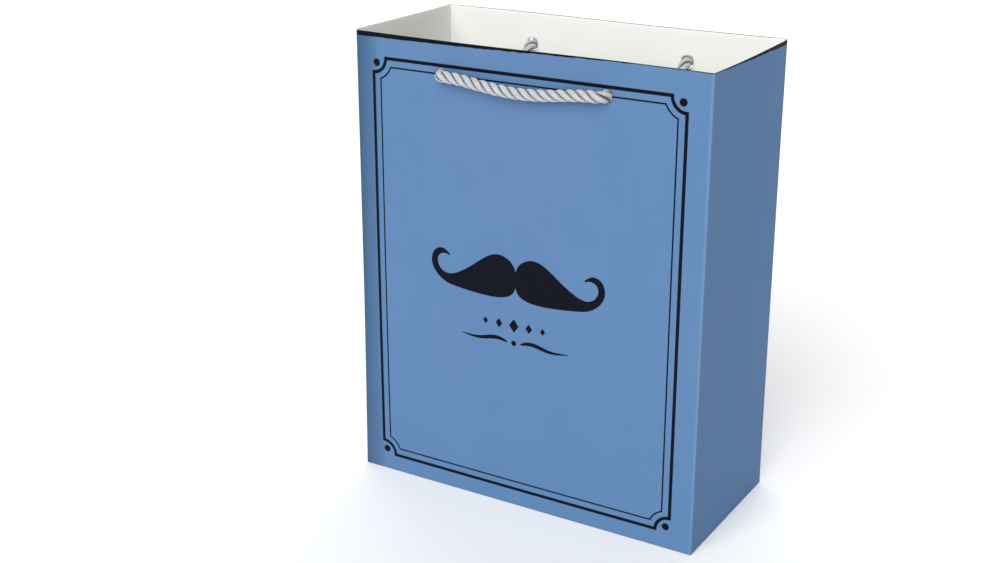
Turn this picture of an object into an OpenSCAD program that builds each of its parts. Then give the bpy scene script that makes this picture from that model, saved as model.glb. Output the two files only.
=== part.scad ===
// Gift bag with a satchel bottom and two rope handles.
// Millimetres, +Z up. The origin is the centre of the face it stands on.
// The printed front faces -Y.

/* [Bag] */
// Width of the front and back panels
bag_w = 260; // [180:1:360]
// Depth of the side gussets
bag_d = 120; // [80:1:180]
// Height of the bag
bag_h = 320; // [240:1:420]
// Thickness of the paper
paper_t = 0.35; // [0.2:0.05:0.6]
// Width of the glued seam flap inside the back panel
seam_w = 15; // [10:1:25]

/* [Turned-in top] */
// Height of the turned-in hem
hem_h = 40; // [30:1:60]
// Thickness of the stiffening card inside the hem
card_t = 1.0; // [0.5:0.1:1.5]
// Height of the stiffening card
card_h = 33; // [28:1:50]
// Distance from the bag's corner crease to the end of the card
card_inset = 15; // [8:1:30]

/* [Bottom] */
// How far the front and back bottom flaps lap over each other
flap_lap = 20; // [10:1:40]
// Length of the side bottom flaps
side_flap_l = 46; // [30:1:50]
// Cut-back of each corner of a side bottom flap
side_flap_cut = 9; // [4:1:14]
// Thickness of the loose base board
board_t = 1.5; // [0.8:0.1:2.5]
// Gap all round the loose base board
board_gap = 6; // [2:0.5:8]

/* [Rope handles] */
// Distance between the two holes of a handle
hole_pitch = 120; // [80:1:160]
// Distance from the top edge down to the hole's centre
hole_drop = 22.5; // [16:0.5:28]
// Diameter of the rope
rope_d = 8; // [5:0.5:9]
// Gap between the rope and the edge of its hole
hole_gap = 0.5; // [0.3:0.1:1.2]
// Diameter of the stopper knot
knot_d = 18; // [14:1:22]
// Length of the rope's end below its knot
rope_end_l = 13; // [8:1:25]

/* [Hidden] */

part_gap = 0.3;                       // air between pieces that move apart
half_w = bag_w / 2;
half_d = bag_d / 2;
in_w = half_w - paper_t;              // inner face of a gusset
in_d = half_d - paper_t;              // inner face of a front or back panel
card_in = in_d - card_t;              // inner face of the card
hem_in = card_in - paper_t;           // inner face of the hem over the card
card_bottom = bag_h - paper_t - card_h;
hem_step = card_t + paper_t;          // height over which the hem steps off the card
hole_z = bag_h - hole_drop;
hole_r = rope_d / 2 + hole_gap;
board_z = 3 * paper_t + part_gap;     // the board lies over three layers of paper
rope_r = rope_d / 2;
rope_sides = 10;

// Routes in millimetres from the hole: x along the panel, y into the bag from
// the panel's outer face, z up. The span runs outside, between the two tails.
// A tail turns in through the hole, bends down and hangs to its knot.
out_y = -rope_r - 0.6;                // the span's centre, in front of the panel
turn_out = 4.6;                       // bend outside, from the span into the hole
turn_in = 8;                          // bend inside, from the hole downwards
turn_rings = 5;
lead = 0.8;                           // straight bit between the span and the bend
through = 2;                          // straight bit through paper, card and hem
front_drop = 75;                      // from the hole down to the knot
back_drop = 84;
drop_rings = 7;
span_sag = 4.5;
span_rings = 12;

paper_blue = [0.42, 0.55, 0.73];
paper_side = [0.37, 0.48, 0.64];
paper_grey = [0.74, 0.75, 0.72];
card_grey = [0.62, 0.60, 0.56];
rope_white = [0.84, 0.84, 0.84];

// ---- swept tube: rings of points along a route, closed at both ends ----
function unit(v) = v / norm(v);
function heading(p, i) =
    unit(p[min(i + 1, len(p) - 1)] - p[max(i - 1, 0)]);
function ring(c, h, side, r, n) =
    let (a = unit(cross(h, side)), b = cross(a, h))
    [for (k = [0 : n - 1]) c + r * (cos(360 * k / n) * a + sin(360 * k / n) * b)];

module tube(route, side, r, n) {
    rings = [for (i = [0 : len(route) - 1])
        ring(route[i], heading(route, i), side, r, n)];
    points = [for (one = rings) each one];
    last = len(route) - 1;
    polyhedron(
        points = points,
        faces = concat(
            [[for (k = [0 : n - 1]) k]],
            [for (i = [0 : last - 1], k = [0 : n - 1])
                let (a = i * n + k, b = i * n + (k + 1) % n)
                [b, a, a + n, b + n]],
            [[for (k = [n - 1 : -1 : 0]) last * n + k]]
        )
    );
}

// ---- body of the bag ----
// Two holes for a rope, through everything at the back or front
module rope_holes() {
    for (x = [-1, 1])
        translate([x * hole_pitch / 2, 0, hole_z])
            rotate([90, 0, 0])
                cylinder(h = bag_d + 2, r = hole_r, center = true, $fn = 48);
}

module front_panel() {
    color(paper_blue)
        difference() {
            translate([-half_w, -half_d, 0]) cube([bag_w, paper_t, bag_h]);
            rope_holes();
        }
}

module back_panel() {
    color(paper_blue)
        difference() {
            translate([-half_w, in_d, 0]) cube([bag_w, paper_t, bag_h]);
            rope_holes();
        }
}

module gusset() {
    color(paper_side)
        translate([in_w, -in_d, 0]) cube([paper_t, 2 * in_d, bag_h]);
}

// The gusset sheet carries on round the corner and is glued inside the back
module seam_flap() {
    color(paper_grey)
        translate([-in_w, in_d - paper_t, 3 * paper_t])
            cube([seam_w, paper_t, bag_h - hem_h - 3 * paper_t]);
}

// ---- turned-in top ----
module panel_card() {
    color(card_grey)
        difference() {
            translate([-half_w + card_inset, -in_d, card_bottom])
                cube([bag_w - 2 * card_inset, card_t, card_h]);
            rope_holes();
        }
}

// Section of the hem that wraps the card, across the panel (y, z)
module panel_hem() {
    reach = in_w - paper_t;
    color(paper_grey)
        difference() {
            translate([-reach, 0, 0])
                rotate([90, 0, 90])
                    linear_extrude(height = 2 * reach)
                        polygon([
                            [-in_d, bag_h],
                            [-hem_in, bag_h],
                            [-hem_in, card_bottom - paper_t],
                            [-in_d + paper_t, card_bottom - hem_step],
                            [-in_d + paper_t, bag_h - hem_h],
                            [-in_d, bag_h - hem_h],
                            [-in_d, card_bottom - hem_step],
                            [-card_in, card_bottom],
                            [-card_in, bag_h - paper_t],
                            [-in_d, bag_h - paper_t]
                        ]);
            rope_holes();
        }
}

module gusset_hem() {
    color(paper_grey)
        translate([in_w - paper_t, -in_d, bag_h - hem_h])
            cube([paper_t, 2 * in_d, hem_h]);
}

// ---- bottom ----
module front_bottom_flap() {
    color(paper_grey)
        translate([-in_w, -in_d, 0])
            cube([2 * in_w, in_d + flap_lap / 2, paper_t]);
}

// The back flap steps up where it laps over the front flap
module back_bottom_flap() {
    lap = flap_lap / 2;
    color(paper_grey)
        translate([-in_w, 0, 0])
            rotate([90, 0, 90])
                linear_extrude(height = 2 * in_w)
                    polygon([
                        [in_d, 0],
                        [lap, 0],
                        [lap, paper_t],
                        [-lap, paper_t],
                        [-lap, 2 * paper_t],
                        [lap + paper_t, 2 * paper_t],
                        [lap + paper_t, paper_t],
                        [in_d, paper_t]
                    ]);
}

module side_bottom_flap() {
    wide = in_d - paper_t;
    color(paper_grey)
        translate([0, 0, 2 * paper_t])
            linear_extrude(height = paper_t)
                polygon([
                    [in_w, -wide], [in_w, wide],
                    [in_w - side_flap_cut, wide],
                    [in_w - side_flap_l, wide - side_flap_cut],
                    [in_w - side_flap_l, -wide + side_flap_cut],
                    [in_w - side_flap_cut, -wide]
                ]);
}

module base_board() {
    x = in_w - board_gap;
    y = in_d - board_gap;
    color(card_grey)
        translate([-x, -y, board_z]) cube([2 * x, 2 * y, board_t]);
}

// ---- rope handles, drawn for the front; the back is turned round ----
function span_end() = hole_pitch / 2 - turn_out - lead - part_gap;

// The span leaves both tails in line with them, so it can swing about its ends
module rope_span() {
    e = span_end();
    route = [for (i = [0 : span_rings])
        let (x = -e + 2 * e * i / span_rings)
        [x, 0, -span_sag * pow(1 - pow(x / e, 2), 2)]];
    color(rope_white)
        translate([0, -half_d + out_y, hole_z])
            tube(route, [0, 1, 0], rope_r, rope_sides);
}

// From the hole: along the panel, in through the hole, down to the knot
module rope_tail(drop) {
    y0 = out_y + turn_out;
    route = concat(
        [[-turn_out - lead, out_y, 0]],
        [for (i = [0 : turn_rings])
            let (a = 90 * i / turn_rings)
            [-turn_out * (1 - sin(a)), y0 - turn_out * cos(a), 0]],
        [for (i = [0 : turn_rings])
            let (a = 90 * i / turn_rings)
            [0, y0 + through + turn_in * sin(a), -turn_in * (1 - cos(a))]],
        [for (i = [1 : drop_rings])
            [0, y0 + through + turn_in, -turn_in - (drop - turn_in) * i / drop_rings]]
    );
    color(rope_white)
        translate([hole_pitch / 2, -half_d, hole_z])
            tube(route, [1, -1, -1], rope_r, rope_sides);
}

function knot_y() = -half_d + out_y + turn_out + through + turn_in;
function knot_z(drop) = hole_z - drop - knot_d / 2 + 1;

module knot(drop) {
    color(rope_white)
        translate([hole_pitch / 2, knot_y(), knot_z(drop)])
            sphere(d = knot_d, $fn = 48);
}

module rope_end(drop) {
    color(rope_white)
        translate([hole_pitch / 2, knot_y(), knot_z(drop) - knot_d / 2 - rope_end_l + 1])
            cylinder(h = rope_end_l, r = rope_r, $fn = 40);
}

module other_side() { mirror([1, 0, 0]) children(); }
module turned_round() { rotate([0, 0, 180]) children(); }

front_panel();
back_panel();
gusset();  // right_gusset
other_side() gusset();  // left_gusset
seam_flap();
panel_hem();  // front_hem
turned_round() panel_hem();  // back_hem
gusset_hem();  // right_hem
other_side() gusset_hem();  // left_hem
panel_card();  // front_card
turned_round() panel_card();  // back_card
front_bottom_flap();
back_bottom_flap();
side_bottom_flap();  // right_bottom_flap
other_side() side_bottom_flap();  // left_bottom_flap
base_board();
rope_span();  // front_rope
rope_tail(front_drop);  // front_rope_tail_right
other_side() rope_tail(front_drop);  // front_rope_tail_left
knot(front_drop);  // front_knot_right
other_side() knot(front_drop);  // front_knot_left
rope_end(front_drop);  // front_rope_end_right
other_side() rope_end(front_drop);  // front_rope_end_left
turned_round() rope_span();  // back_rope
turned_round() other_side() rope_tail(back_drop);  // back_rope_tail_right
turned_round() rope_tail(back_drop);  // back_rope_tail_left
turned_round() other_side() knot(back_drop);  // back_knot_right
turned_round() knot(back_drop);  // back_knot_left
turned_round() other_side() rope_end(back_drop);  // back_rope_end_right
turned_round() rope_end(back_drop);  // back_rope_end_left
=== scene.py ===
# %% [markdown]
# # A paper gift bag
# The bag is one folded sheet of paper with a few loose pieces: two stiffening
# cards in the top, a board on the bottom and two ropes. The engineering model
# of it is loaded first and stays where it is. Everything made below sits in the
# same place, in metres, with +Z up and the printed front facing -Y.

# %% Load the frame
import math

import bmesh
import bpy
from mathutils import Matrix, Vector


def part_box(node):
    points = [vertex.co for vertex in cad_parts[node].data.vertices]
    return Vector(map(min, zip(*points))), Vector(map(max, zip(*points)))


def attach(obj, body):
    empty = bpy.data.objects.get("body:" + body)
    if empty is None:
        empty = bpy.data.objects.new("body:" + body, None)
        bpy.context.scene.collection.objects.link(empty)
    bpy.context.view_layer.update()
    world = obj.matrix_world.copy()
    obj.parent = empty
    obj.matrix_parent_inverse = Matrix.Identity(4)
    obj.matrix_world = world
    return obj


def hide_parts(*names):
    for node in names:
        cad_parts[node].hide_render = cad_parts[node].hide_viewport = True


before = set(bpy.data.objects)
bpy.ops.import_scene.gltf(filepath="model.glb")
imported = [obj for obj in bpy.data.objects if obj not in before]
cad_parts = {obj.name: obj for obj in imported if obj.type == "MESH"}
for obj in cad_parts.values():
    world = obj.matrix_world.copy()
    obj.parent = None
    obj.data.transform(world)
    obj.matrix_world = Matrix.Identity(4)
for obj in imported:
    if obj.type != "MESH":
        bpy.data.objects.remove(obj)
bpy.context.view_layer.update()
MM = 0.001
HALF_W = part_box("front_panel")[1].x / MM
HALF_D = -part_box("front_panel")[0].y / MM
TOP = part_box("front_panel")[1].z / MM
HEM_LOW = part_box("right_hem")[0].z / MM
CARD_LOW, CARD_HIGH = (c.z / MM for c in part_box("front_card"))
CARD_HALF_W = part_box("front_card")[1].x / MM
print("bag", 2 * HALF_W, "x", 2 * HALF_D, "x", TOP, "mm")

# %% [markdown]
# ## Camera
# The camera looks down at the front and the right gusset. It comes first. A
# camera's lens length and its distance work together: seen from near, as here,
# lines that run away from the eye draw together strongly.

# %% Camera
CAMERA_AZIMUTH, CAMERA_ELEVATION = 31.1, 20.15
CAMERA_DISTANCE = 1.0675
AIM = Vector((-0.0518, 0.0, 0.1377))
LENS = 53.85


def towards(azimuth, elevation):
    """A unit vector from the bag to a place seen from that direction."""
    a, e = math.radians(azimuth), math.radians(elevation)
    return Vector((math.sin(a) * math.cos(e), -math.cos(a) * math.cos(e), math.sin(e)))


camera_data = bpy.data.cameras.new("camera")
camera_data.lens = LENS
camera_data.sensor_width = 36.0
camera_data.clip_start, camera_data.clip_end = 0.02, 50.0
camera = bpy.data.objects.new("camera", camera_data)
bpy.context.collection.objects.link(camera)
look_back = towards(CAMERA_AZIMUTH, CAMERA_ELEVATION)
camera.location = AIM + look_back * CAMERA_DISTANCE
camera.rotation_mode = "QUATERNION"
camera.rotation_quaternion = (-look_back).to_track_quat("-Z", "Y")
bpy.context.scene.camera = camera
print("camera at", [round(c, 3) for c in camera.location])

# %% [markdown]
# ## Small helpers
# A material in Blender is a little graph of nodes. `Shader` keeps the graph
# short to write: each call adds one node, sets its values and wires its inputs.

# %% Helpers for materials


class Shader:
    """A material with a Principled surface, and short ways to add nodes to it."""

    def __init__(self, name):
        self.material = bpy.data.materials.new(name)
        self.material.use_nodes = True
        self.tree = self.material.node_tree
        self.surface = self.tree.nodes["Principled BSDF"]
        self.place = self.add("ShaderNodeTexCoord").outputs["Object"]

    def add(self, kind, **settings):
        node = self.tree.nodes.new(kind)
        for name, value in settings.items():
            setattr(node, name, value)
        return node

    def wire(self, source, socket):
        if hasattr(source, "is_output"):
            self.tree.links.new(source, socket)
        else:
            socket.default_value = source

    def noise(self, scale, detail=2.0, rough=0.5, place=None):
        node = self.add("ShaderNodeTexNoise")
        self.wire(place or self.place, node.inputs["Vector"])
        node.inputs["Scale"].default_value = scale
        node.inputs["Detail"].default_value = detail
        node.inputs["Roughness"].default_value = rough
        return node.outputs["Fac"]

    def stretched(self, x, y, z):
        node = self.add("ShaderNodeMapping")
        self.wire(self.place, node.inputs["Vector"])
        node.inputs["Scale"].default_value = (x, y, z)
        return node.outputs["Vector"]

    def attribute(self, name):
        return self.add("ShaderNodeAttribute", attribute_name=name).outputs["Fac"]

    def math(self, operation, a, b=0.0, clamp=False):
        node = self.add("ShaderNodeMath", operation=operation, use_clamp=clamp)
        self.wire(a, node.inputs[0])
        self.wire(b, node.inputs[1])
        return node.outputs[0]

    def span(self, value, low, high, out_low=0.0, out_high=1.0):
        node = self.add("ShaderNodeMapRange", interpolation_type="SMOOTHSTEP")
        for socket, number in zip(node.inputs, (value, low, high, out_low, out_high)):
            self.wire(number, socket)
        return node.outputs[0]

    def mix(self, share, a, b):
        node = self.add("ShaderNodeMix", data_type="RGBA")
        self.wire(share, node.inputs["Factor"])
        for socket, colour in ((node.inputs[6], a), (node.inputs[7], b)):
            self.wire((*colour, 1.0) if isinstance(colour, tuple) else colour, socket)
        return node.outputs[2]

    def bump(self, height, strength, distance, under=None):
        node = self.add("ShaderNodeBump")
        node.inputs["Strength"].default_value = strength
        node.inputs["Distance"].default_value = distance
        self.wire(height, node.inputs["Height"])
        if under is not None:
            self.wire(under, node.inputs["Normal"])
        return node.outputs["Normal"]

    def finish(self, colour, roughness, normal, **uniform):
        self.wire(colour, self.surface.inputs["Base Color"])
        self.wire(roughness, self.surface.inputs["Roughness"])
        self.wire(normal, self.surface.inputs["Normal"])
        for name, value in uniform.items():
            self.surface.inputs[name.replace("_", " ")].default_value = value
        return self.material


# %% [markdown]
# ## Rope
# The handles are a soft white three-strand rope about 8 mm thick. Each strand
# is itself a bundle of yarns, twisted the other way, which is what keeps a rope
# from coming undone. One plain tube with a striped texture would look like
# plastic, so the strands are real shapes, wound by Geometry Nodes round any
# path that is given to them. The grooves between strands are painted nearly
# black: painted shade, where little light gets in.

# %% Rope finish
rope_shader = Shader("white_cotton_rope")
yarn_fuzz = rope_shader.noise(2600, 3.0, 0.65)
yarn_tone = rope_shader.noise(420, 2.0)
depth_in_rope = rope_shader.attribute("rope_radial")
# Painted shade: the yarn turns nearly black deep in the grooves between strands.
groove = rope_shader.span(depth_in_rope, 0.66, 0.95)
yarn_out_of_grooves = rope_shader.mix(yarn_tone, (0.36, 0.375, 0.40), (0.53, 0.545, 0.565))
rope_colour = rope_shader.mix(groove, (0.016, 0.020, 0.028), yarn_out_of_grooves)
ROPE_WHITE = rope_shader.finish(
    rope_colour,
    rope_shader.span(yarn_fuzz, 0.2, 0.8, 0.72, 0.92),
    rope_shader.bump(yarn_fuzz, 0.55, 0.00035),
    Sheen_Weight=0.25,
    Sheen_Roughness=0.5,
    Specular_IOR_Level=0.25,
)
print("made", ROPE_WHITE.name)

# %% Rope-winding node tree
ROPE_D = 8.0
STRANDS = 3
LAY = 21.0


def node_tree(name, inputs):
    """An empty geometry node tree with these inputs, and its two end nodes."""
    tree = bpy.data.node_groups.new(name, "GeometryNodeTree")
    face = tree.interface
    face.new_socket("Geometry", in_out="INPUT", socket_type="NodeSocketGeometry")
    for label, kind, value in inputs:
        made = face.new_socket(label, in_out="INPUT", socket_type="NodeSocket" + kind)
        if value is not None:
            made.default_value = value
    face.new_socket("Geometry", in_out="OUTPUT", socket_type="NodeSocketGeometry")
    return tree, tree.nodes.new("NodeGroupInput"), tree.nodes.new("NodeGroupOutput")


class Graph:
    """Adds nodes to a geometry node tree and wires them as they are made."""

    def __init__(self, tree):
        self.tree = tree

    def node(self, kind, wires=(), **settings):
        node = self.tree.nodes.new(kind)
        for name, value in settings.items():
            setattr(node, name, value)
        for socket, source in dict(wires).items():
            where = node.inputs[socket]
            if hasattr(source, "is_output"):
                self.tree.links.new(source, where)
            else:
                where.default_value = source
        return node

    def math(self, operation, a, b=0.0):
        made = self.node("ShaderNodeMath", {0: a, 1: b}, operation=operation)
        return made.outputs[0]

    def vector(self, operation, a, b=None, scale=None):
        wires = {0: a}
        if b is not None:
            wires[1] = b
        if scale is not None:
            wires["Scale"] = scale
        made = self.node("ShaderNodeVectorMath", wires, operation=operation)
        return made.outputs["Value" if operation == "LENGTH" else "Vector"]


rope_tree, rope_in, rope_out = node_tree(
    "twisted_rope",
    [
        ("Strands", "Int", STRANDS),
        ("Lay", "Float", LAY * MM),
        ("Strand offset", "Float", 1.84 * MM),
        ("Strand radius", "Float", 1.93 * MM),
        ("Yarns", "Int", 7),
        ("Yarn depth", "Float", 0.10),
        ("Yarn lay", "Float", 13.0 * MM),
        ("Ring spacing", "Float", 0.75 * MM),
        ("Start turn", "Float", 0.0),
        ("Material", "Material", None),
    ],
)
g = Graph(rope_tree)
want = rope_in.outputs
resampled = g.node(
    "GeometryNodeResampleCurve", {"Curve": want["Geometry"], "Length": want["Ring spacing"]},
    mode="LENGTH",
).outputs[0]
core = g.node(
    "GeometryNodeStoreNamedAttribute",
    {"Geometry": resampled, "Name": "core",
     "Value": g.node("GeometryNodeInputPosition").outputs[0]},
    data_type="FLOAT_VECTOR",
).outputs[0]
steady = g.node("GeometryNodeSetCurveNormal", {"Curve": core}, mode="MINIMUM_TWIST").outputs[0]
copies = g.node(
    "GeometryNodeDuplicateElements", {"Geometry": steady, "Amount": want["Strands"]},
    domain="SPLINE",
)
along = g.node("GeometryNodeSplineParameter").outputs["Length"]
turn = g.math(
    "ADD",
    g.math("DIVIDE", along, want["Lay"]),
    g.math("ADD", g.math("DIVIDE", copies.outputs["Duplicate Index"], want["Strands"]),
           want["Start turn"]),
)
angle = g.math("MULTIPLY", turn, math.tau)
normal = g.node("GeometryNodeInputNormal").outputs[0]
tangent = g.node("GeometryNodeInputTangent").outputs[0]
sideways = g.vector("CROSS_PRODUCT", tangent, normal)
outwards = g.vector(
    "ADD",
    g.vector("SCALE", normal, scale=g.math("COSINE", angle)),
    g.vector("SCALE", sideways, scale=g.math("SINE", angle)),
)
wound = g.node(
    "GeometryNodeSetPosition",
    {"Geometry": copies.outputs["Geometry"],
     "Offset": g.vector("SCALE", outwards, scale=want["Strand offset"])},
).outputs[0]
level = g.node("GeometryNodeSetCurveNormal", {"Curve": wound}, mode="MINIMUM_TWIST").outputs[0]
yarn_turn = g.math("MULTIPLY", g.math("DIVIDE", along, want["Yarn lay"]), -math.tau)
tilted = g.node("GeometryNodeSetCurveTilt", {"Curve": level, "Tilt": yarn_turn}).outputs[0]
PROFILE_POINTS = 35
circle = g.node(
    "GeometryNodeCurvePrimitiveCircle",
    {"Resolution": PROFILE_POINTS, "Radius": want["Strand radius"]}, mode="RADIUS",
).outputs[0]
place = g.node("GeometryNodeInputPosition").outputs[0]
index = g.node("GeometryNodeInputIndex").outputs[0]
wave = g.math(
    "COSINE",
    g.math("MULTIPLY", g.math("MULTIPLY", index, want["Yarns"]), math.tau / PROFILE_POINTS),
)
swell = g.math("ADD", g.math("MULTIPLY", wave, want["Yarn depth"]), 1.0)
lobed = g.node(
    "GeometryNodeSetPosition",
    {"Geometry": circle, "Position": g.vector("SCALE", place, scale=swell)},
).outputs[0]
strands = g.node(
    "GeometryNodeCurveToMesh", {"Curve": tilted, "Profile Curve": lobed, "Fill Caps": True}
).outputs[0]
home = g.node("GeometryNodeInputNamedAttribute", {"Name": "core"}, data_type="FLOAT_VECTOR")
reach = g.vector("LENGTH", g.vector("SUBTRACT", place, home.outputs["Attribute"]))
radial = g.node(
    "GeometryNodeStoreNamedAttribute",
    {"Geometry": strands, "Name": "rope_radial",
     "Value": g.math("DIVIDE", reach,
                     g.math("ADD", want["Strand offset"], want["Strand radius"]))},
    data_type="FLOAT",
).outputs[0]
real = g.node("GeometryNodeRealizeInstances", {"Geometry": radial}).outputs[0]
smooth = g.node("GeometryNodeSetShadeSmooth", {"Geometry": real}).outputs[0]
skinned = g.node(
    "GeometryNodeSetMaterial", {"Geometry": smooth, "Material": want["Material"]}
).outputs[0]
rope_tree.links.new(skinned, rope_out.inputs[0])
print("rope tree", len(rope_tree.nodes), "nodes")

# %% Winding a rope along a path


def path_length(points):
    return sum((Vector(b) - Vector(a)).length for a, b in zip(points, points[1:]))


def smooth_curve(points, count):
    """A smooth curve through the points, with count steps between each two of them."""
    p = [Vector(q) for q in points]
    p = [2 * p[0] - p[1]] + p + [2 * p[-1] - p[-2]]
    out = []
    for a, b, c, d in zip(p, p[1:], p[2:], p[3:]):
        for i in range(count):
            t = i / count
            out.append(0.5 * (2 * b + (c - a) * t + (2 * a - 5 * b + 4 * c - d) * t * t
                              + (3 * b - a - 3 * c + d) * t ** 3))
    return [tuple(q) for q in out + [p[-2]]]


def make_rope(name, path, **changes):
    """A rope mesh along path (metres), wound by the node tree."""
    curve = bpy.data.curves.new(name + "_path", "CURVE")
    curve.dimensions = "3D"
    spline = curve.splines.new("POLY")
    spline.points.add(len(path) - 1)
    for point, where in zip(spline.points, path):
        point.co = (*where, 1.0)
    guide = bpy.data.objects.new(name + "_path", curve)
    bpy.context.collection.objects.link(guide)
    modifier = guide.modifiers.new("rope", "NODES")
    modifier.node_group = rope_tree
    inputs = {s.name: s.identifier for s in rope_tree.interface.items_tree
              if s.in_out == "INPUT"}
    modifier[inputs["Material"]] = ROPE_WHITE
    for label, value in changes.items():
        modifier[inputs[label.replace("_", " ")]] = value
    seen = guide.evaluated_get(bpy.context.evaluated_depsgraph_get())
    mesh = bpy.data.meshes.new_from_object(seen)
    mesh.name = name
    bpy.data.objects.remove(guide)
    rope = bpy.data.objects.new(name, mesh)
    bpy.context.collection.objects.link(rope)
    print(name, round(path_length(path) / MM, 1), "mm,", len(mesh.polygons), "faces")
    return rope


# %% [markdown]
# ## The two handles
# A handle is one rope. Its middle spans the outside of the panel, sagging a few
# millimetres, and swings about its two ends. At each end it turns in through a
# punched hole and hangs inside the bag down to a stopper knot. The part that
# swings and the parts that don't are separate meshes with their strands wound
# the same way, so they meet as one rope. The rope's route repeats the
# engineering model's own numbers.

# %% Handle routes
HOLE_X = 60.0
HOLE_Z = TOP - 22.5
HOLE_R = 4.5
HOLES = [(-HOLE_X, HOLE_Z), (HOLE_X, HOLE_Z)]
PIECE_GAP = 0.3
OUT_Y = -(ROPE_D / 2 + 0.6)
TURN_OUT, TURN_IN, LEAD, THROUGH = 4.6, 8.0, 0.8, 2.0
SAG = 4.5
SPAN_END = HOLE_X - TURN_OUT - LEAD - PIECE_GAP
SPAN_OVERLAP = 0.5
DROPS = {"front": 75.0, "back": 84.0}


def on_side(points, face, side):
    """Local millimetres (x from the middle, y inwards, z from the hole) to metres."""
    turn = 1 if face == "front" else -1
    return [(side * turn * x * MM, turn * (y - HALF_D) * MM, (HOLE_Z + z) * MM)
            for x, y, z in points]


def span_route():
    """The outside stretch between the two holes, with its middle sagging."""
    steps = 44
    xs = [SPAN_END * (2 * i / steps - 1) for i in range(steps + 1)]
    route = [(x, OUT_Y, -SAG * (1 - (x / SPAN_END) ** 2) ** 2) for x in xs]
    return [(-SPAN_END - SPAN_OVERLAP, OUT_Y, 0.0)] + route + [
        (SPAN_END + SPAN_OVERLAP, OUT_Y, 0.0)]


def tail_route(drop):
    """In through a hole, then straight down for the rest of the drop."""
    quarter = [math.radians(90 * i / 8) for i in range(9)]
    y0 = OUT_Y + TURN_OUT
    route = [(HOLE_X - TURN_OUT - LEAD, OUT_Y, 0.0)]
    route += [(HOLE_X - TURN_OUT * (1 - math.sin(a)), y0 - TURN_OUT * math.cos(a), 0.0)
              for a in quarter]
    route += [(HOLE_X, y0 + THROUGH + TURN_IN * math.sin(a), -TURN_IN * (1 - math.cos(a)))
              for a in quarter]
    hang = 20
    route += [(HOLE_X, y0 + THROUGH + TURN_IN,
               -TURN_IN - (drop - TURN_IN) * i / hang) for i in range(1, hang + 1)]
    return route


# %% [markdown]
# Inside the bag each rope ends in a stopper knot. Pulled tight, such a knot shows
# as a ball of wraps that lean over each other, and the rope's end leaves it
# straight down. The route below does what the hand does: it steps off the
# rope's line, winds round it and comes back to it.

# %% Knots
WRAP_R, WRAP_TURNS, WRAP_FALL, WRAP_STEP = 5.1, 1.75, 13.2, 0.24
END_BELOW = 12.0


def knot_route(drop):
    """The rope in a stopper knot and the short end below it."""
    y0 = OUT_Y + TURN_OUT + THROUGH + TURN_IN
    top = -drop
    route = [(HOLE_X, y0, top + 2.0), (HOLE_X, y0, top + 0.3)]
    steps = 40
    for i in range(1, steps):
        s = i / steps
        r = WRAP_R * min(1.0, s / WRAP_STEP, (1 - s) / WRAP_STEP) ** 0.8
        a = math.tau * WRAP_TURNS * s
        route.append((HOLE_X + r * math.cos(a), y0 + r * math.sin(a),
                      top - 1.2 - WRAP_FALL * s - 1.6 * math.sin(a) * r / WRAP_R))
    low = top - 1.2 - WRAP_FALL
    route += [(HOLE_X, y0, low - 2.6), (HOLE_X + 0.5, y0, low - END_BELOW / 2),
              (HOLE_X + 1.2, y0, low - END_BELOW)]
    return route


# %% Making the ropes
GAP = PIECE_GAP - SPAN_OVERLAP
for face in ("front", "back"):
    turn = 1 if face == "front" else -1
    span = on_side(span_route(), face, 1)
    turns = (path_length(span) / MM + GAP) / LAY
    rope = make_rope(f"{face}_rope_span", span)
    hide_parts(f"{face}_rope")
    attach(rope, f"{face}_handle")
    for side_name, side in (("right", turn), ("left", -turn)):
        tail = on_side(tail_route(DROPS[face]), face, side)
        piece = make_rope(f"{face}_rope_tail_{side_name}_piece", tail,
                          Start_turn=turns if side > 0 else 0.5 + GAP / LAY)
        knot_path = smooth_curve(on_side(knot_route(DROPS[face]), face, side), 3)
        knot = make_rope(f"{face}_knot_{side_name}_piece", knot_path)
        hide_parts(f"{face}_rope_tail_{side_name}")
        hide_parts(f"{face}_knot_{side_name}", f"{face}_rope_end_{side_name}")
        for made in (piece, knot):
            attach(made, "bag")

# %% [markdown]
# ## Paper
# The outside is matt-laminated blue paper. Four things keep it from looking
# like painted board: a slow drift of tone across the sheet, the fine tooth of
# the fibres, lighter broken ink along the sharp creases, which is also painted
# highlight along them, and a black band painted along the top fold. Painted
# shade also darkens the left margin and its soft corner, and takes no notice of
# the lamps. What follows the sheet reads numbers that are stored on the mesh:
# `crease` and `left_corner_painted_shade`, how near a fold is and how much painted shade the
# soft corner gets, and `below_fold` and `line_width`, in millimetres.

# %% Blue paper
blue = Shader("blue_printed_paper")
drift = blue.noise(5.0, 2.0)
cloud = blue.noise(28.0, 3.0)
tooth = blue.noise(1500.0, 4.0, 0.6)
grain = blue.noise(1.0, 3.0, 0.55, place=blue.stretched(900.0, 900.0, 260.0))
tone = blue.mix(drift, (0.094, 0.168, 0.328), (0.077, 0.176, 0.315))
tone = blue.mix(blue.span(cloud, 0.25, 0.75, 0.0, 0.22), tone, (0.108, 0.196, 0.352))
streak = blue.noise(1.0, 3.0, 0.6, place=blue.stretched(260.0, 260.0, 4.0))
tone = blue.mix(blue.span(streak, 0.35, 0.75, 0.0, 0.07), tone, (0.070, 0.140, 0.262))
fleck = blue.span(tooth, 0.62, 0.80, 0.0, 0.18)
tone = blue.mix(fleck, tone, (0.150, 0.242, 0.388))
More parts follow.
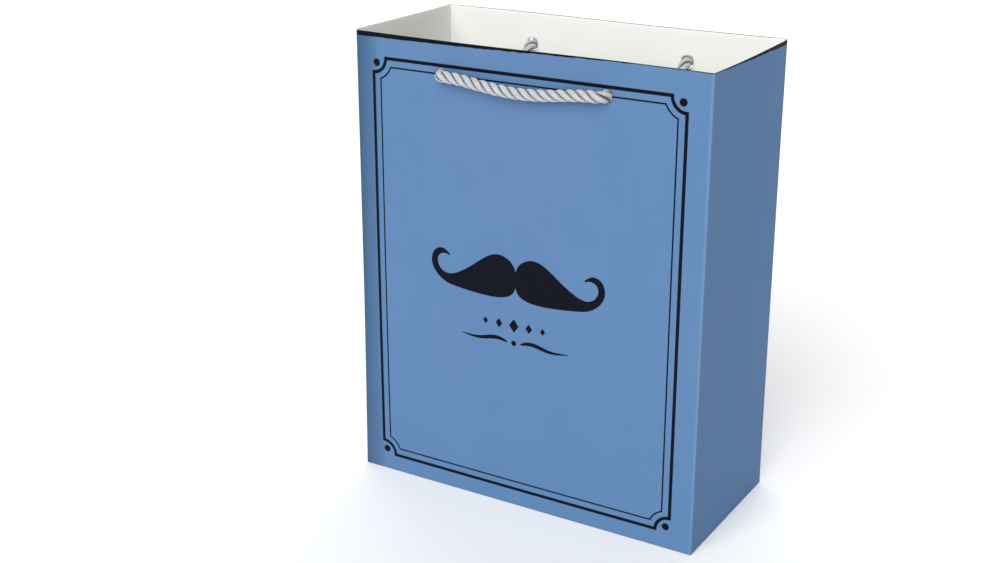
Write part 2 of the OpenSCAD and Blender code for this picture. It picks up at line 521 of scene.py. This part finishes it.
# Lighter broken ink along the sharp creases: cracked ink, and also a painted highlight along
# them.
crease_wear_and_highlight = blue.math("MULTIPLY", blue.attribute("crease"), blue.span(tooth, 0.30, 0.62),
                 clamp=True)
tone = blue.mix(blue.math("MULTIPLY", crease_wear_and_highlight, 0.22), tone, (0.30, 0.40, 0.54))
# Painted shade: the left margin and its soft corner are darkened by the amount stored in
# left_corner_painted_shade.
tone = blue.mix(blue.attribute("left_corner_painted_shade"), tone, (0.038, 0.080, 0.150))
# A black band is painted along the top fold, as wide as line_width, with a ragged lower edge.
ragged = blue.math("MULTIPLY", blue.span(blue.noise(140.0, 2.0), 0.3, 0.7), 0.35)
below = blue.math("ADD", blue.attribute("below_fold"), ragged)
in_line = blue.math("LESS_THAN", below, blue.attribute("line_width"))
tone = blue.mix(in_line, tone, (0.004, 0.004, 0.007))
BLUE_PAPER = blue.finish(
    tone,
    blue.span(cloud, 0.2, 0.8, 0.54, 0.66),
    blue.bump(tooth, 0.18, 0.00006, under=blue.bump(grain, 0.12, 0.00008)),
    Specular_IOR_Level=0.05,
)
print("made", BLUE_PAPER.name)

# %% [markdown]
# The inside and the turned-in hem are the same sheet's unprinted side: a soft
# off-white with fibres just visible. The cards and the loose board are grey
# pulp board, rougher, with darker and lighter specks from recycled paper. The
# ink is dense black with the paper's tooth showing through it.

# %% Bare paper, grey board and ink
bare = Shader("bare_paper")
bare_tooth = bare.noise(1300.0, 4.0, 0.6)
bare_cloud = bare.noise(35.0, 3.0)
bare_tone = bare.mix(bare_cloud, (0.73, 0.735, 0.70), (0.79, 0.79, 0.765))
bare_tone = bare.mix(bare.span(bare_tooth, 0.62, 0.8, 0.0, 0.25), bare_tone,
                     (0.66, 0.65, 0.61))
BARE_PAPER = bare.finish(
    bare_tone,
    bare.span(bare_tooth, 0.2, 0.8, 0.66, 0.80),
    bare.bump(bare_tooth, 0.22, 0.00008),
    Specular_IOR_Level=0.3,
)

board = Shader("grey_board")
pulp = board.noise(700.0, 5.0, 0.7)
speck = board.noise(2300.0, 2.0)
board_tone = board.mix(pulp, (0.30, 0.285, 0.25), (0.42, 0.40, 0.36))
board_tone = board.mix(board.span(speck, 0.66, 0.74, 0.0, 0.7), board_tone,
                       (0.12, 0.11, 0.10))
GREY_BOARD = board.finish(
    board_tone, board.span(pulp, 0.2, 0.8, 0.78, 0.92),
    board.bump(pulp, 0.35, 0.00012), Specular_IOR_Level=0.25,
)

ink = Shader("black_ink")
ink_tooth = ink.noise(1500.0, 4.0, 0.6)
ink_tone = ink.mix(ink.span(ink_tooth, 0.55, 0.8, 0.0, 0.6), (0.0028, 0.0036, 0.0085),
                   (0.007, 0.009, 0.019))
BLACK_INK = ink.finish(
    ink_tone, ink.span(ink_tooth, 0.2, 0.8, 0.46, 0.60),
    ink.bump(ink_tooth, 0.15, 0.00006), Specular_IOR_Level=0.06,
)
print("made", BARE_PAPER.name, GREY_BOARD.name, BLACK_INK.name)

# %% [markdown]
# ## The shape of the walls
# Stiff paper never stands perfectly flat. The front swells a little, the
# gussets are drawn in, and the front's left margin turns back before its
# crease. All the pieces that lie on a wall, such as the print, the hem and the
# cards, have to follow it, so the wall's shape is one function that everything
# reads: `wall_shift` says how far a point of the plain box moves.

# %% Wall shape
CREASE_R = {"front_right": 0.9, "back_right": 4.5, "back_left": 1.6, "front_left": 4.5}
MARGIN_TURN = 1.2
FOOT_SHARP, FOOT_FADE = 0.5, 150.0


def ease(t):
    """0 up to 0, 1 from 1 on, and a smooth rise between."""
    t = min(1.0, max(0.0, t))
    return t * t * (3 - 2 * t)


def swell(s, z, tallest=0.45):
    """1 in the middle of a panel, 0 at its creases, its bottom and its stiff top."""
    across = max(0.0, 1 - s * s)
    up = max(0.0, min(1.0, z / HEM_LOW))
    return across * math.sin(math.pi * up ** (math.log(0.5) / math.log(tallest)))


def wall_shift(wall, x, y, z):
    """How far (dx, dy) a wall's point at x, y, z moves from the plain box, in mm."""
    if wall == "front":
        s = x / HALF_W
        out = 1.5 * swell(s, z) + 0.25 * math.sin(z / 41 + x / 57) * swell(s, z)
        turned = MARGIN_TURN * ease((-101 - x) / 29) ** 1.5 * ease(z / FOOT_FADE)
        return 0.0, turned - out
    if wall == "right":
        s = y / HALF_D
        drawn = 1.7 * swell(s, z, 0.55) + 0.3 * math.sin(z / 36) * swell(s, z)
        lips = 0.9 * ease((z - 250) / 70) * (1 - s * s)
        return -drawn + lips, 0.0
    if wall == "back":
        s = x / HALF_W
        out = 1.4 * swell(s, z, 0.5) + 0.3 * math.sin(z / 47 - x / 63) * swell(s, z)
        return 0.0, out
    s = y / HALF_D
    return 1.6 * swell(s, z, 0.5), MARGIN_TURN * (0.5 - 0.5 * s) * ease(z / FOOT_FADE)


def opened(z):
    """Share of its full radius that a crease has at height z, 0 at the foot, 1 on top."""
    return (max(z, 0.0) / TOP) ** 0.6


def panel_y(wall, x, z, proud=0.0):
    """y of the front's or back's outer face in mm, `proud` mm outside it."""
    sign = -1 if wall == "front" else 1
    y = sign * (HALF_D + proud) + wall_shift(wall, x, sign * HALF_D, z)[1]
    if wall == "front":
        r = FOOT_SHARP + (CREASE_R["front_left"] - FOOT_SHARP) * opened(z)
        beyond = max(0.0, r - HALF_W - x)
        y += r - math.sqrt(r * r - min(beyond, r) ** 2)
    return y


print("front swells", round(-HALF_D - panel_y("front", 0, 140), 2), "mm")

# %% [markdown]
# ## The folded sheet
# The four walls and the turned-in hem are one sheet. It is built as a grid:
# columns run round the bag, close together at the creases, and rows run up the
# outside, over the top fold and down the inside as the hem. Solidify then gives
# it the paper's thickness, with the bare side inside. This is simpler than
# folding a flat sheet, and every crease can have its own sharpness.

# %% Columns round the bag
NEXT_WALL = {"front": "right", "right": "back", "back": "left", "left": "front"}
NEAR_CREASE = [0.0, 0.35, 0.8, 1.6, 3.0, 5.5, 9.0, 13.0]
SHARP_BELOW = 3


def columns():
    """(wall, x, y, nx, ny, crease, foot x, foot y) for each column, counter-clockwise."""
    out = []
    order = [("front", "front_right", (1, -1)), ("right", "back_right", (1, 1)),
             ("back", "back_left", (-1, 1)), ("left", "front_left", (-1, -1))]
    starts = {"front": (0, -1), "right": (1, 0), "back": (0, 1), "left": (-1, 0)}
    before = "front_left"
    for wall, corner, (cx, cy) in order:
        nx, ny = starts[wall]
        tx, ty = -ny, nx
        half = HALF_W if wall in ("front", "back") else HALF_D
        away = HALF_D if wall in ("front", "back") else HALF_W
        low, high = -half + CREASE_R[before], half - CREASE_R[corner]
        middle = high - low - 32
        cells = round(middle / 4.2)
        inner = [low + 16 + i * middle / cells for i in range(cells + 1)]
        spots = [low + d for d in NEAR_CREASE] + inner
        spots += [high - d for d in reversed(NEAR_CREASE)]
        for u in spots:
            edge = min(u - low, high - u)
            sharp = CREASE_R[before if u - low < high - u else corner] < SHARP_BELOW
            crease = max(0.0, 1 - edge / 1.3) if sharp else 0.0
            tight_low, tight_high = -half + FOOT_SHARP, half - FOOT_SHARP
            foot_u = tight_low + (u - low) * (tight_high - tight_low) / (high - low)
            out.append((wall, nx * away + tx * u, ny * away + ty * u, nx, ny, crease,
                        nx * away + tx * foot_u, ny * away + ty * foot_u))
        r = CREASE_R[corner]
        for i in range(1, 8):
            a = math.atan2(ny, nx) + math.pi / 2 * i / 8
            out.append((wall if i < 4 else NEXT_WALL[wall],
                        cx * (HALF_W - r) + r * math.cos(a),
                        cy * (HALF_D - r) + r * math.sin(a),
                        math.cos(a), math.sin(a), 1.0 if r < SHARP_BELOW else 0.0,
                        cx * (HALF_W - FOOT_SHARP) + FOOT_SHARP * math.cos(a),
                        cy * (HALF_D - FOOT_SHARP) + FOOT_SHARP * math.sin(a)))
        before = corner
    return out


COLUMNS = columns()
print(len(COLUMNS), "columns")

# %% Rows up the outside, over the fold and down the hem
PAPER = 0.32
FOOT_R = 0.35


def line_width(wall, x, y):
    """Width of the black band painted along the top fold, in mm."""
    if wall == "front":
        return 0.85 + 2.5 * ((HALF_W - x) / (2 * HALF_W)) ** 1.3
    if wall == "right":
        return 0.85 + 2.3 * ((y + HALF_D) / (2 * HALF_D)) ** 1.5
    if wall == "back":
        return 3.0 - 0.5 * (HALF_W - x) / (2 * HALF_W)
    return 2.6 + 0.7 * (HALF_D - y) / (2 * HALF_D)


def fold_depth(wall, x, y):
    """Total thickness of the turned-in top: paper, hem and, on a panel, the card."""
    if wall in ("front", "back"):
        return 0.72 + 0.98 * ease((HALF_W - 4 - abs(x)) / 9)
    return 0.72


def profile(wall, x, y):
    """(inwards, z, below_fold) rows of the sheet's printed face at one column."""
    f = fold_depth(wall, x, y) / 2
    rows = [(FOOT_R * (1 - math.sin(a)), FOOT_R * (1 - math.cos(a)), TOP)
            for a in (0.0, 0.35, 0.7, 1.05, 1.35)]
    z = FOOT_R
    while z < TOP - 13:
        rows.append((0.0, z, TOP - z))
        z += 4.1
    rows += [(0.0, TOP - d, d) for d in (12, 9, 6.5, 4.5, 3.0, 2.0)]
    for i in range(9):
        a = math.pi * i / 8
        rows.append((f * (1 - math.cos(a)), TOP - f + f * math.sin(a),
                     max(-2.0, f * (math.pi / 2 - a))))
    step = ease((CARD_HALF_W - abs(x)) / 4) if wall in ("front", "back") else 0.0
    for d in (3, 6, 10, 15, 20, 25, 30):
        rows.append((2 * f, TOP - d, -d))
    for z in (CARD_LOW - 0.2, CARD_LOW - 1.6, HEM_LOW + 2.5, HEM_LOW):
        low = z < CARD_LOW - 1
        rows.append((2 * f - (0.9 * step if low else 0.0), z, z - TOP))
    return rows


# %% Building the sheet
HOLE_WINDOW = 7.4 * MM


def add_mesh(name, verts, faces, materials, smooth=True):
    """A mesh object at the origin from vertices in mm."""
    mesh = bpy.data.meshes.new(name)
    mesh.from_pydata([(x * MM, y * MM, z * MM) for x, y, z in verts], [], faces)
    for material in materials:
        mesh.materials.append(material)
    if smooth:
        mesh.shade_smooth()
    piece = bpy.data.objects.new(name, mesh)
    bpy.context.collection.objects.link(piece)
    return piece


def store(piece, name, values):
    """One number for each vertex, which a material can read by name."""
    layer = piece.data.attributes.new(name, "FLOAT", "POINT")
    layer.data.foreach_set("value", values)


def apply_modifiers(piece):
    """Turns what the modifiers make into the piece's own mesh."""
    seen = piece.evaluated_get(bpy.context.evaluated_depsgraph_get())
    mesh = bpy.data.meshes.new_from_object(seen)
    piece.modifiers.clear()
    piece.data = mesh


def punch(piece, y, facing, holes, radius):
    """Round holes at (x, z), in mm, in the layer of a piece near y that faces that way."""
    bm = bmesh.new()
    bm.from_mesh(piece.data)
    for x, z in holes:
        middle = Vector((x * MM, y * MM, z * MM))
        window = {f for f in bm.faces if f.normal.y * facing > 0.7
                  and max(abs(c) for c in f.calc_center_median() - middle) < HOLE_WINDOW}
        look = next(iter(window))
        normal, slot = look.normal.copy(), look.material_index
        rim = {e for f in window for e in f.edges
               if sum(other in window for other in e.link_faces) == 1}
        bmesh.ops.delete(bm, geom=list(window), context="FACES")
        ring = {v for e in rim for v in e.verts}
        for edge in list(rim):
            ring.add(bmesh.utils.edge_split(edge, edge.verts[0], 0.5)[1])
        ring = sorted(ring, key=lambda v: math.atan2(v.co.z - middle.z, v.co.x - middle.x))
        for share in (0.6, 1.0):
            nearer = []
            for v in ring:
                flat = Vector((v.co.x - middle.x, 0, v.co.z - middle.z)).normalized()
                edge_of_hole = middle + flat * radius * MM
                edge_of_hole.y = v.co.y
                nearer.append(bm.verts.new(v.co.lerp(edge_of_hole, share), v))
            for i in range(len(ring)):
                k = (i + 1) % len(ring)
                face = bm.faces.new((ring[i], ring[k], nearer[k], nearer[i]))
                face.normal_update()
                if face.normal.dot(normal) < 0:
                    face.normal_flip()
                face.material_index, face.smooth = slot, True
            ring = nearer
    bm.to_mesh(piece.data)
    bm.free()
    print(piece.name, len(holes), "holes", facing)


def left_corner_painted_shade(wall, x, y):
    """Painted shade: 0.95 at the soft front-left corner, fading to 0 on both walls beside it.
    """
    if wall == "front":
        return 0.5 * ease((-108.0 - x) / 8.0) + 0.45 * ease((-116.0 - x) / 14.0)
    if wall == "left":
        return 0.95 - 0.95 * ease((y + HALF_D - 6.0) / 24.0)
    return 0.0


# rolls holds the painted shade for the soft front-left corner, one value per vertex.
verts, creases, corner_shade_values, belows, widths = [], [], [], [], []
for wall, x, y, nx, ny, crease, foot_x, foot_y in COLUMNS:
    for inwards, z, below in profile(wall, x, y):
        up = opened(z)
        px, py = foot_x + (x - foot_x) * up, foot_y + (y - foot_y) * up
        dx, dy = wall_shift(wall, px, py, z)
        verts.append((px + dx - nx * inwards, py + dy - ny * inwards,
                      z - 0.25 * ease(z / TOP) * (1 - math.cos((x + y) / 31))))
        creases.append(crease)
        corner_shade_values.append(left_corner_painted_shade(wall, x, y))
        belows.append(below)
        widths.append(line_width(wall, x, y))
first_rows = profile(*COLUMNS[0][:3])
ROWS = len(first_rows)
count = len(COLUMNS)
faces, kinds = [], []
fold_top = min(i for i, row in enumerate(first_rows) if row[2] < 0.0)
for c in range(count):
    d = (c + 1) % count
    for r in range(ROWS - 1):
        faces.append((c * ROWS + r, d * ROWS + r, d * ROWS + r + 1, c * ROWS + r + 1))
        kinds.append(0 if r < fold_top + 1 else 1)
sheet = add_mesh("folded_sheet", verts, faces, [BLUE_PAPER, BARE_PAPER, BARE_PAPER])
for polygon, kind in zip(sheet.data.polygons, kinds):
    polygon.material_index = kind
store(sheet, "crease", creases)
store(sheet, "left_corner_painted_shade", corner_shade_values)
store(sheet, "below_fold", belows)
store(sheet, "line_width", widths)
for side in (-1, 1):
    for facing in (-1, 1):
        punch(sheet, side * HALF_D, facing, HOLES, HOLE_R)
wall_thickness = sheet.modifiers.new("paper", "SOLIDIFY")
wall_thickness.thickness = PAPER * MM
wall_thickness.offset = -1.0
wall_thickness.material_offset = 1
wall_thickness.material_offset_rim = 1
apply_modifiers(sheet)
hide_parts("front_panel", "back_panel", "right_gusset", "left_gusset",
            "front_hem", "back_hem", "right_hem", "left_hem")
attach(sheet, "bag")
print("sheet", len(sheet.data.vertices), "vertices")

# %% [markdown]
# ## Pieces that lie against a wall
# The seam flap and the two cards are thin plates that follow the wall behind
# them. One function makes any such plate: a grid of points on the wall, pushed
# inwards by a set depth and given a thickness.

# %% Seam flap and cards


def plate_on_wall(name, wall, x0, x1, z0, z1, depth, thick, material, holes=()):
    """A plate that follows the inside of a wall, depth mm behind its outer face."""
    sign = -1 if wall == "front" else 1
    nx, nz = max(2, round((x1 - x0) / 4.5)), max(2, round((z1 - z0) / 5))
    grid = []
    for i in range(nx + 1):
        for k in range(nz + 1):
            x, z = x0 + (x1 - x0) * i / nx, z0 + (z1 - z0) * k / nz
            grid.append((-sign * x, panel_y(wall, -sign * x, z) - sign * depth, z))
    n = nz + 1
    quads = [(i * n + k, i * n + n + k, i * n + n + k + 1, i * n + k + 1)
             for i in range(nx) for k in range(nz)]
    piece = add_mesh(name, grid, quads, [material], smooth=False)
    if holes:
        punch(piece, sign * HALF_D, sign, holes, HOLE_R)
        for polygon in piece.data.polygons:
            polygon.use_smooth = False
    body = piece.modifiers.new("thickness", "SOLIDIFY")
    body.thickness, body.offset = thick * MM, -1.0
    apply_modifiers(piece)
    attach(piece, "bag")
    return piece


seam_low, seam_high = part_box("seam_flap")
seam = plate_on_wall("seam_flap_paper", "back", -seam_high.x / MM, -seam_low.x / MM - 1.4,
                     seam_low.z / MM, seam_high.z / MM, PAPER + 0.02, 0.3, BARE_PAPER)
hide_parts("seam_flap")
for face in ("front", "back"):
    card = plate_on_wall(f"{face}_stiffening_card", face, -CARD_HALF_W + 0.5,
                         CARD_HALF_W - 0.5, CARD_LOW, CARD_HIGH - 0.6, PAPER + 0.03,
                         0.9, GREY_BOARD, HOLES)
    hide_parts(f"{face}_card")

# %% [markdown]
# ## Bottom
# The bottom flaps and the loose board are flat and have the right shape
# already, so the engineering model's own meshes stay and only get their
# finish: the two outer flaps show their printed side below.

# %% Bottom finishes
for node in ("front_bottom_flap", "back_bottom_flap"):
    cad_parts[node].material_slots[0].material = BLUE_PAPER
for node in ("right_bottom_flap", "left_bottom_flap"):
    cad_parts[node].material_slots[0].material = BARE_PAPER
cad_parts["base_board"].material_slots[0].material = GREY_BOARD

# %% [markdown]
# ## Print
# The print is black ink: a border of a thick and a thin line with scooped
# corners and a dot in each, a handlebar moustache and a small ornament. It is
# laid on the paper as a film a few hundredths of a millimetre thick, which
# stays crisp at any distance, where a texture would blur. Every film is a
# ribbon: a middle line with a width at each point, cut into cells small enough
# to follow the swelling panel.

# %% Ribbons of ink
INK, INK_LIFT = 0.035, 0.012


def ribbon(points, widths, cells=1, closed=False):
    """Vertices (x, z) and quads of a flat band along points, widths wide."""
    n = len(points)
    verts, quads = [], []
    for i, ((x, z), w) in enumerate(zip(points, widths)):
        here = Vector((x, z))
        before = here - Vector(points[i - 1]) if closed or i else None
        after = Vector(points[(i + 1) % n]) - here if closed or i < n - 1 else before
        before = (before or after).normalized()
        after = after.normalized()
        along = (before + after).normalized()
        across = Vector((-along.y, along.x)) / max(0.6, along.dot(before))
        for k in range(cells + 1):
            q = here + across * w * (k / cells - 0.5)
            verts.append((q.x, q.y))
    for i in range(n if closed else n - 1):
        a, b = i * (cells + 1), ((i + 1) % n) * (cells + 1)
        quads += [(a + k, a + k + 1, b + k + 1, b + k) for k in range(cells)]
    return verts, quads


def border_line(half_w, low, high, scoop, corner_in):
    """Closed outline of a rectangle whose corners are scooped out by arcs."""
    out = []
    reach = math.sqrt(scoop ** 2 - corner_in ** 2)
    corners = [(half_w, low, 1, -1), (half_w, high, 1, 1),
               (-half_w, high, -1, 1), (-half_w, low, -1, -1)]
    for number, (cx, cz, sx, sz) in enumerate(corners):
        ox, oz = cx + sx * corner_in, cz + sz * corner_in
        first, last = (cx - sx * (reach - corner_in), cz), (cx, cz - sz * (reach - corner_in))
        if number % 2:
            first, last = last, first
        a0 = math.atan2(first[1] - oz, first[0] - ox)
        a1 = math.atan2(last[1] - oz, last[0] - ox)
        a1 += math.tau * round((a0 - a1) / math.tau)
        arc = [(ox + scoop * math.cos(a0 + (a1 - a0) * i / 10),
                oz + scoop * math.sin(a0 + (a1 - a0) * i / 10)) for i in range(11)]
        nx, nz, next_sx, next_sz = corners[(number + 1) % 4]
        along = ((nx, nz - next_sz * (reach - corner_in)) if number % 2 == 0
                 else (nx - next_sx * (reach - corner_in), nz))
        steps = max(2, round(math.dist(arc[-1], along) / 4))
        out += arc + [(arc[-1][0] + (along[0] - arc[-1][0]) * i / steps,
                       arc[-1][1] + (along[1] - arc[-1][1]) * i / steps)
                      for i in range(1, steps)]
    return out


def disc(x, z, r, rings=2, sides=28):
    """A round dot of radius r, made of a fan and a ring of cells."""
    verts, quads = [(x, z)], []
    for k in range(1, rings + 1):
        verts += [(x + r * k / rings * math.cos(math.tau * i / sides),
                   z + r * k / rings * math.sin(math.tau * i / sides))
                  for i in range(sides)]
    quads += [(0, 1 + i, 1 + (i + 1) % sides) for i in range(sides)]
    for k in range(1, rings):
        a, b = 1 + (k - 1) * sides, 1 + k * sides
        quads += [(a + i, b + i, b + (i + 1) % sides, a + (i + 1) % sides)
                  for i in range(sides)]
    return verts, quads


# %% [markdown]
# Half the moustache lies between an upper and a lower edge that run from the
# pinch in the middle, along a fat lobe and round a curl to its tip. Both edges
# are smooth curves with the same number of points, so the cells between them
# fill the shape, and the other half is its mirror image. The ornament below is
# plain: a row of lozenges over a dot with a wavy stroke on each side.

# %% Motifs
MOUSTACHE = (-3.0, 167.0)
ORNAMENT_X, LOZENGE_Z, WAVE_Z = -4.0, 134.5, 122.0
THICK_LINE, THIN_LINE = 2.3, 1.05
UPPER = [(0, 5.6), (1.6, 9.4), (5, 12.9), (10, 15.2), (15.5, 15.4), (21.5, 13.2), (28, 8.8),
         (35, 3.6), (42, -0.9), (48, -3.8), (53.6, -4.6), (58.2, -2.6), (60.8, 1.4),
         (60.9, 5.4), (58.6, 8.3), (54.8, 9.2), (51.4, 8.2)]
LOWER = [(0, -5.6), (1.4, -9.0), (4.4, -11.8), (9.2, -13.7), (15, -14.6), (22, -14.8),
         (30, -14.5), (38, -13.8), (46, -12.9), (53, -11.6), (59, -8.6), (63.6, -4.0),
         (65.9, 1.6), (65.2, 7.4), (61.8, 11.6), (56.4, 12.6), (51.2, 9.4)]


def moustache_half(centre, mirrored):
    """Cells between the two edges, to the right of the centre or mirrored to the left."""
    sign = -1 if mirrored else 1
    fine = [smooth_curve(edge, 6) for edge in (UPPER, LOWER)]
    across = 6
    verts = []
    for (ux, uz), (lx, lz) in zip(*fine):
        for k in range(across + 1):
            t = k / across
            verts.append((centre[0] + sign * (lx + (ux - lx) * t),
                          centre[1] + lz + (uz - lz) * t))
    n = across + 1
    quads = [(i * n + k, (i + 1) * n + k, (i + 1) * n + k + 1, i * n + k + 1)
             for i in range(len(fine[0]) - 1) for k in range(across)]
    return verts, [q[::-1] for q in quads] if mirrored else quads


def lozenge(x, z, w, h):
    """A diamond w to each side of its middle and h above and below."""
    return ([(x - w, z), (x, z - h), (x + w, z), (x, z + h)], [(0, 1, 2, 3)])


def motifs():
    """Every flat shape of the print, as (vertices, faces) in panel millimetres."""
    inset, low, high, half = 5.7, 12.6, 303.6, 113.8
    outer = border_line(half, low, high, 10.0, 0.0)
    inner = border_line(half - inset, low + inset, high - inset, 15.0, inset)
    shapes = [ribbon(outer, [THICK_LINE] * len(outer), closed=True),
              ribbon(inner, [THIN_LINE] * len(inner), closed=True)]
    for sx in (-1, 1):
        for z in (low + 3.4, high - 3.4):
            shapes.append(disc(sx * (half - 2.6), z, 2.6))
    shapes += [moustache_half(MOUSTACHE, False), moustache_half(MOUSTACHE, True)]
    for dx, size in ((-22, 0.7), (-11.5, 0.95), (0, 1.35), (11.5, 0.95), (22, 0.7)):
        shapes.append(lozenge(ORNAMENT_X + dx, LOZENGE_Z, 2.7 * size, 3.6 * size))
    for side in (-1, 1):
        sweep = [(ORNAMENT_X + side * (5 + 36 * i / 30),
                  WAVE_Z + 2.2 * math.sin(math.pi * i / 15) * (1 - i / 36)) for i in range(31)]
        fat = [0.5 + 2.3 * math.sin(math.pi * (i / 30) ** 0.6) for i in range(31)]
        shapes.append(ribbon(sweep, fat, cells=2))
    shapes.append(disc(ORNAMENT_X, WAVE_Z, 1.9))
    return shapes


# %% Laying the ink on a panel


def lay_ink(name, wall, shapes):
    """All shapes as thin closed films on that panel's outer face, in one mesh."""
    sign = -1 if wall == "front" else 1
    verts, faces = [], []
    for flat, quads in shapes:
        base, top = len(verts), len(verts) + len(flat)
        for proud in (0.0, INK):
            verts += [(-sign * x, panel_y(wall, -sign * x, z, INK_LIFT + proud), z)
                      for x, z in flat]
        edges = {}
        for q in quads:
            area = sum(flat[a][0] * flat[b][1] - flat[b][0] * flat[a][1]
                       for a, b in zip(q, q[1:] + q[:1]))
            q = q if area > 0 else q[::-1]
            faces.append(tuple(top + i for i in q))
            faces.append(tuple(base + i for i in reversed(q)))
            for a, b in zip(q, q[1:] + q[:1]):
                edges[(a, b)] = edges.get((a, b), 0) + 1
        faces += [(base + a, base + b, top + b, top + a)
                  for a, b in edges if (b, a) not in edges]
    piece = add_mesh(name, verts, faces, [BLACK_INK], smooth=False)
    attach(piece, "bag")
    print(name, len(piece.data.polygons), "faces")


SHAPES = motifs()
lay_ink("front_print", "front", SHAPES)
lay_ink("back_print", "back", SHAPES)

# %% [markdown]
# ## Floor and light
# The floor is a round pale sheet whose far rim sweeps up all round, as a paper
# roll in a studio does, so that no horizon line shows from any side. Two
# broad soft lamps stand far off: the main one high and a little to the right of
# the front, a weaker one behind. Blender's sun with a large angle does this and
# lights the whole floor alike. The right gusset turns away from the main lamp,
# so it is a good third darker than the front.

# %% Floor
FLOOR_R, RIM_R, RIM_SIDES = 5.0, 1.6, 64
floor_profile = [(0.02, 0.0), (1.0, 0.0), (2.5, 0.0), (FLOOR_R, 0.0)]
floor_profile += [(FLOOR_R + RIM_R * math.sin(math.radians(a)),
                   RIM_R * (1 - math.cos(math.radians(a)))) for a in range(10, 81, 10)]
floor_verts = [(1000 * r * math.cos(math.tau * i / RIM_SIDES),
                1000 * r * math.sin(math.tau * i / RIM_SIDES), 1000 * z - 0.2)
               for r, z in floor_profile for i in range(RIM_SIDES)]
floor_faces = [(k * RIM_SIDES + i, (k + 1) * RIM_SIDES + i,
                (k + 1) * RIM_SIDES + (i + 1) % RIM_SIDES, k * RIM_SIDES + (i + 1) % RIM_SIDES)
               for k in range(len(floor_profile) - 1) for i in range(RIM_SIDES)]
floor_faces.append(tuple(range(RIM_SIDES)))
floor_shader = Shader("pale_floor")
floor_shader.surface.inputs["Base Color"].default_value = (0.94, 0.94, 0.94, 1.0)
floor_shader.surface.inputs["Roughness"].default_value = 0.9
floor = add_mesh("floor", floor_verts, floor_faces, [floor_shader.material])

# %% Lamps and room


def soft_lamp(name, azimuth, elevation, strength, angle):
    """A far lamp in that direction, with that angular size in degrees."""
    data = bpy.data.lights.new(name, "SUN")
    data.energy, data.angle = strength, math.radians(angle)
    lamp = bpy.data.objects.new(name, data)
    bpy.context.collection.objects.link(lamp)
    back = towards(azimuth, elevation)
    lamp.location = back * 2
    lamp.rotation_mode = "QUATERNION"
    lamp.rotation_quaternion = (-back).to_track_quat("-Z", "Y")
    print("lamp", name, strength)


soft_lamp("front_lamp", 10.0, 36.0, 3.35, 60)
soft_lamp("back_lamp", 203.0, 38.0, 1.5, 70)
ROOM = 0.27
world = bpy.data.worlds.new("even_room")
world.use_nodes = True
world.node_tree.nodes["Background"].inputs["Color"].default_value = (1, 1, 1, 1)
world.node_tree.nodes["Background"].inputs["Strength"].default_value = ROOM
bpy.context.scene.world = world
bpy.context.scene.view_settings.view_transform = "Standard"
print("room", ROOM)
